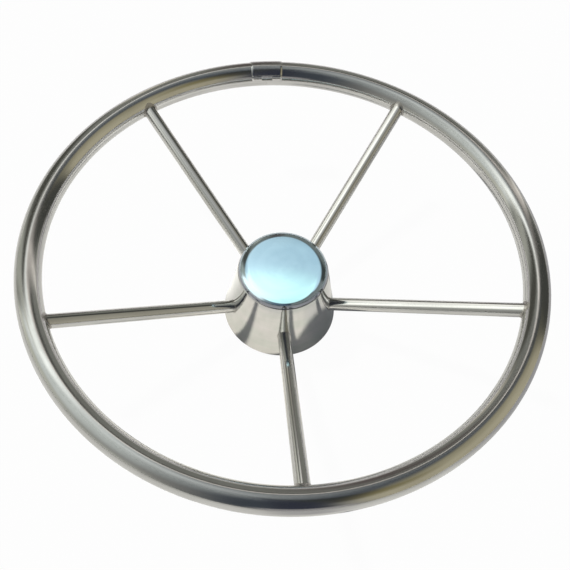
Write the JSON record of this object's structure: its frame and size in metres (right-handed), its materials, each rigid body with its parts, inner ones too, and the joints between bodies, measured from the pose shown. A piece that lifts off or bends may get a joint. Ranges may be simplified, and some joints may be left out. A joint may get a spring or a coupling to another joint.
{
  "type": "boat steering wheel",
  "caption": "Dished boat steering wheel of polished stainless steel: tube rim, straight rod spokes, conical hub and push-in centre cap.",
  "frame": {"origin": "centre of the hub's back face, on the wheel's axis; the bottom centre of the object's box", "axes": "+Z along the wheel's axis, from the helm towards the person steering, with the centre cap on top; one spoke points along -Y and the rim's joint clip is near +Y"},
  "size_m": [0.3938, 0.3945, 0.0926],
  "materials": {
    "polished_steel": "mirror-polished stainless steel with faint polishing lines",
    "hub_steel": "spun and mirror-polished stainless steel sheet",
    "cap_steel": "pressed and mirror-polished stainless steel sheet",
    "clip_steel": "bright-rolled stainless steel sheet with sheared edges",
    "machined_steel": "as-turned stainless steel",
    "black_nylon": "moulded black nylon",
    "black_rubber": "black nitrile rubber"
  },
  "bodies": {
    "wheel": {"rim_tube": "polished_steel", "rim_joint_sleeve": "machined_steel", "rim_joint_clip": "clip_steel", "spoke_1": "polished_steel", "spoke_2": "polished_steel", "spoke_3": "polished_steel", "spoke_4": "polished_steel", "spoke_5": "polished_steel", "hub_shell": "hub_steel", "hub_boss": "machined_steel", "hub_back_plate": "machined_steel", "shaft_washer": "machined_steel", "shaft_nut": "machined_steel"},
    "cap": {"centre_cap": "cap_steel", "cap_plug": "black_nylon", "cap_o_ring": "black_rubber"}
  },
  "joints": [
    {"name": "cap_pull", "type": "slide", "parent": "wheel", "child": "cap", "axis": [0, 0, 1], "range_m": [0, 0.01]}
  ]
}
